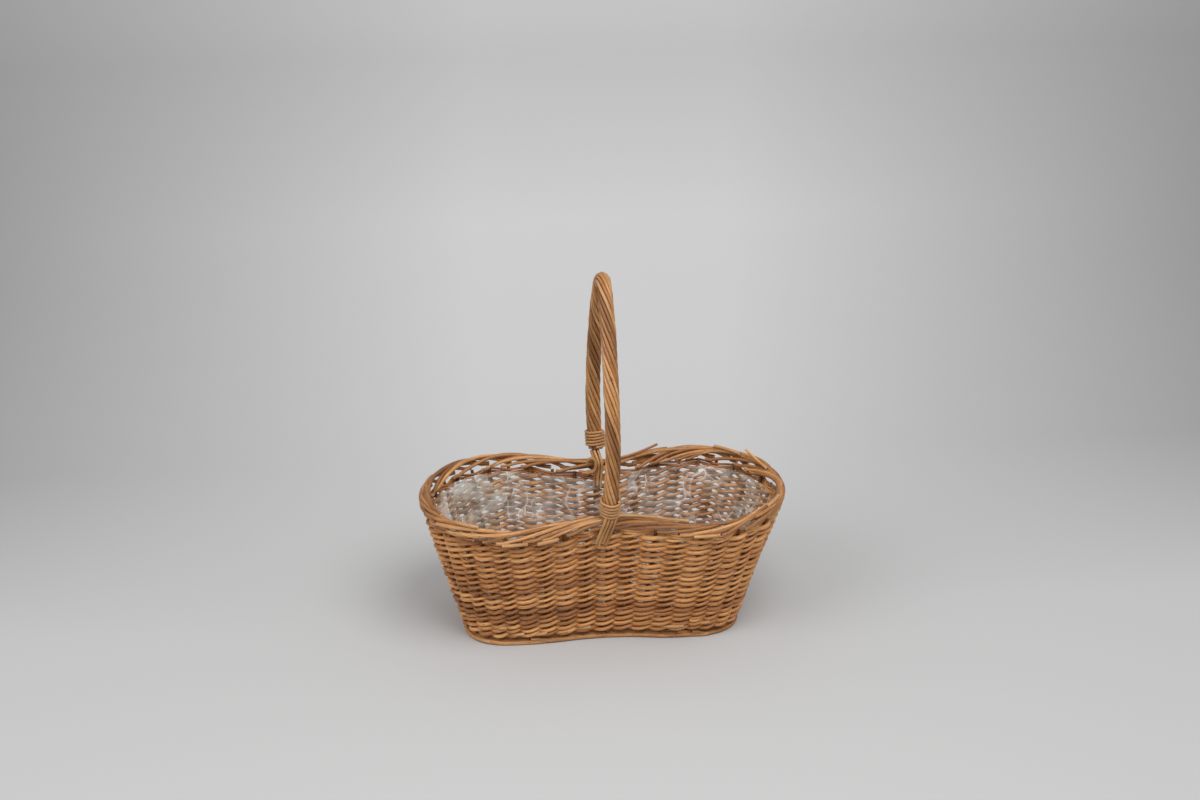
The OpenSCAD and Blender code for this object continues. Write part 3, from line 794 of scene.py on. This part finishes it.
# Liner
def liner_surface(t, z, d):
    """Points of a film that stands d millimetres in from the rods. It passes further in
    at the legs of the bow, and at the rod ends beside them."""
    rods_reach, change, leg_reach = 1.37, 12, 14
    depth = STAKE_D / 2 + 3 * GAP + np.interp(
        z, (WEAVE_Z, WEAVE_Z + change), (WALE_ROD * rods_reach, WEAVE_ROD * rods_reach))
    tails_low = RIM_H - TAIL_LEN
    bow = (bow_d_at(z) - STAKE_D) / 2 + GAP
    bow = bow + np.interp(z, (tails_low - 20, tails_low - 6), (0, TAIL_D + 2 * GAP))
    at_leg = np.exp(-(wall(t, z)[..., 0] / leg_reach) ** 2)
    return wall_off(t, z, -depth - bow * at_leg - d)


def crumple(p):
    """How far the film stands in from the wall: creases that run between facets."""
    v = Vector(p) * MM
    creases = 1 - abs(noise.noise(v * 26)) * 2.4
    wrinkles = 1 - abs(noise.noise(v * 70 + Vector((3, 1, 7)))) * 2.2
    swell = noise.noise(v * 12 + Vector((9, 4, 2)))
    return max(0.0, 2.6 * creases + 0.9 * wrinkles + 6.0 * swell + 1.2)


def liner_rings(around, up, inward):
    """The film's middle point, and its rings from there out to its top edge. Its creases
    grow over a few rings from the corner of the floor, up the wall and inward."""
    wall_rings, floor_rings, edge_wave = 3, 2, 1.2
    floor_share, floor_most = 0.6, 3.0
    t = np.arange(around) * ROUND / around
    z_low, z_top = LINER_Z + FILM_T, WALL_TOP - GAP
    walls = []
    for j in range(up + 1):
        z = np.full(around, z_low + (z_top - z_low) * j / up)
        flat = liner_surface(t, z, np.zeros(around))
        push = np.array([crumple(p) for p in flat])
        ring = liner_surface(t, z, push * min(1.0, j / wall_rings))
        if j == up:
            wave = np.array([edge_wave * noise.noise(Vector((x * 9, 0, 1))) for x in t])
            ring[:, 2] += wave - edge_wave / 2
        walls.append(ring)
    middle = np.array((FOOT.shift, 0, z_low))
    floor = []
    for j in range(1, inward):
        ring = middle + (walls[0] - middle) * (1 - j / inward)
        lift = np.array([min(floor_most, floor_share * crumple(p)) for p in ring])
        ring[:, 2] = z_low + lift * min(1, j / floor_rings)
        floor.append(ring)
    return middle, floor[::-1] + walls


def liner():
    around = 352
    middle, rings = liner_rings(around, up=40, inward=16)
    points = np.concatenate([middle[None] + (0, 0, 0.5)] + rings)
    faces = []
    for j in range(len(rings) - 1):
        for i in range(around):
            k = (i + 1) % around
            a, b = 1 + j * around, 1 + (j + 1) * around
            faces.append((a + i, a + k, b + k, b + i))
    faces += [(0, 1 + (i + 1) % around, 1 + i)[::-1] for i in range(around)]
    mesh = bpy.data.meshes.new("liner_film")
    mesh.from_pydata((points * MM).tolist(), [], faces)
    mesh.materials.append(film())
    mesh.polygons.foreach_set("use_smooth", [True] * len(faces))
    piece = place(mesh, "liner_film", "film", ["liner"])


# Whole basket
foot()
base_weave()
stakes()
waling()
weaving()
border()
handle()
lashings()
tails()
loose_rods()
cut_ends()
liner()

# The CAD nodes that no piece replaces are seen themselves
staple_wire = steel()
for name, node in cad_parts.items():
    if node.hide_render:
        continue
    staples = name == "liner_staples"
    node.data.materials.clear()
    node.data.materials.append(staple_wire if staples else bark_solid)
    node.data.polygons.foreach_set("use_smooth", [not staples] * len(node.data.polygons))


# Floor, light and camera
def backdrop_painted_light():
    """Painted light on the backdrop: its grey is painted brighter up the middle and darker to the
    sides, by how far back a spot lies and how far out to the side.
    """
    n = Nodes("floor")
    spot = n.new("SeparateXYZ")
    n.link(n.where(), spot.inputs["Vector"])
    x, y = spot.outputs["X"], spot.outputs["Y"]
    # the distance from the picture's middle line, as a share of the half width seen there
    width = n.math("MULTIPLY_ADD", y, 0.26, 0.62)
    line = n.math("MULTIPLY_ADD", y, -0.098, x)
    side = n.math("DIVIDE", n.math("ABSOLUTE", line), width)
    deep = n.math("MULTIPLY", y, 0.4)
    # painted light: a pool that brightens up the middle further back, and darker greys out to the
    # sides
    middle = n.greys(deep, (0.02, 0.52), (0.5, 0.79), (0.9, 0.80))
    outer = n.greys(deep, (0.0, 0.50), (0.16, 0.37), (0.4, 0.39), (0.9, 0.48))
    n.colour(n.mix("MIX", n.greys(side, (0.2, 0), (1.0, 1)), middle, outer))
    n.shader.inputs["Roughness"].default_value = 0.9
    n.shader.inputs["Specular IOR Level"].default_value = 0.1
    return n.material


def stage():
    """A floor that bends up into a wall behind the basket, in metres."""
    half, near, far, top, bend = 4.0, -3.0, 2.2, 3.2, 0.9
    section = [(near, 0.0), (far, 0.0)]
    section += [(far + bend * math.sin(a), bend * (1 - math.cos(a)))
                for a in np.linspace(0.1, math.pi / 2, 14)]
    section.append((far + bend, top))
    verts = [(x, y, z) for y, z in section for x in (-half, half)]
    faces = [(2 * i, 2 * i + 1, 2 * i + 3, 2 * i + 2) for i in range(len(section) - 1)]
    mesh = bpy.data.meshes.new("backdrop")
    mesh.from_pydata(verts, [], faces)
    mesh.materials.append(backdrop_painted_light())
    mesh.polygons.foreach_set("use_smooth", [True] * len(faces))
    floor = bpy.data.objects.new("backdrop", mesh)
    bpy.context.scene.collection.objects.link(floor)


def light(name, spot, size, power):
    """A round lamp that shines on the basket's middle."""
    lamp = bpy.data.lights.new(name, "AREA")
    lamp.shape = "DISK"
    lamp.size = size
    lamp.energy = power
    o = bpy.data.objects.new(name, lamp)
    o.location = spot
    aim = Vector((0, 0, 0.15))
    o.rotation_euler = (aim - Vector(spot)).to_track_quat("-Z", "Y").to_euler()
    bpy.context.scene.collection.objects.link(o)


def camera():
    """The photograph's view, as fitted: it looks at the target from the left of straight ahead."""
    turn, tilt, distance = math.radians(5.6), math.radians(22.82), 2518.5
    focal_px, width_px, sensor = 2541.5, 1200, 36.0
    target = Vector((-2.7, 0, 236.9)) * MM
    back = Vector((-math.sin(turn) * math.cos(tilt),
                   -math.cos(turn) * math.cos(tilt), math.sin(tilt)))
    data = bpy.data.cameras.new("camera")
    data.sensor_width = sensor
    data.lens = focal_px * sensor / width_px
    o = bpy.data.objects.new("camera", data)
    o.location = target + back * distance * MM
    o.rotation_mode = "QUATERNION"
    o.rotation_quaternion = (-back).to_track_quat("-Z", "Y")
    bpy.context.scene.collection.objects.link(o)
    bpy.context.scene.camera = o


stage()
light("key", spot=(0.62, -1.15, 2.15), size=1.8, power=34)
light("fill", spot=(-1.5, -1.0, 1.5), size=1.5, power=16)
world = bpy.data.worlds.new("studio")
world.use_nodes = True
world.node_tree.nodes["Background"].inputs["Color"].default_value = (1, 1, 1, 1)
world.node_tree.nodes["Background"].inputs["Strength"].default_value = 0.55
bpy.context.scene.world = world
bpy.context.scene.view_settings.view_transform = "Standard"
camera()
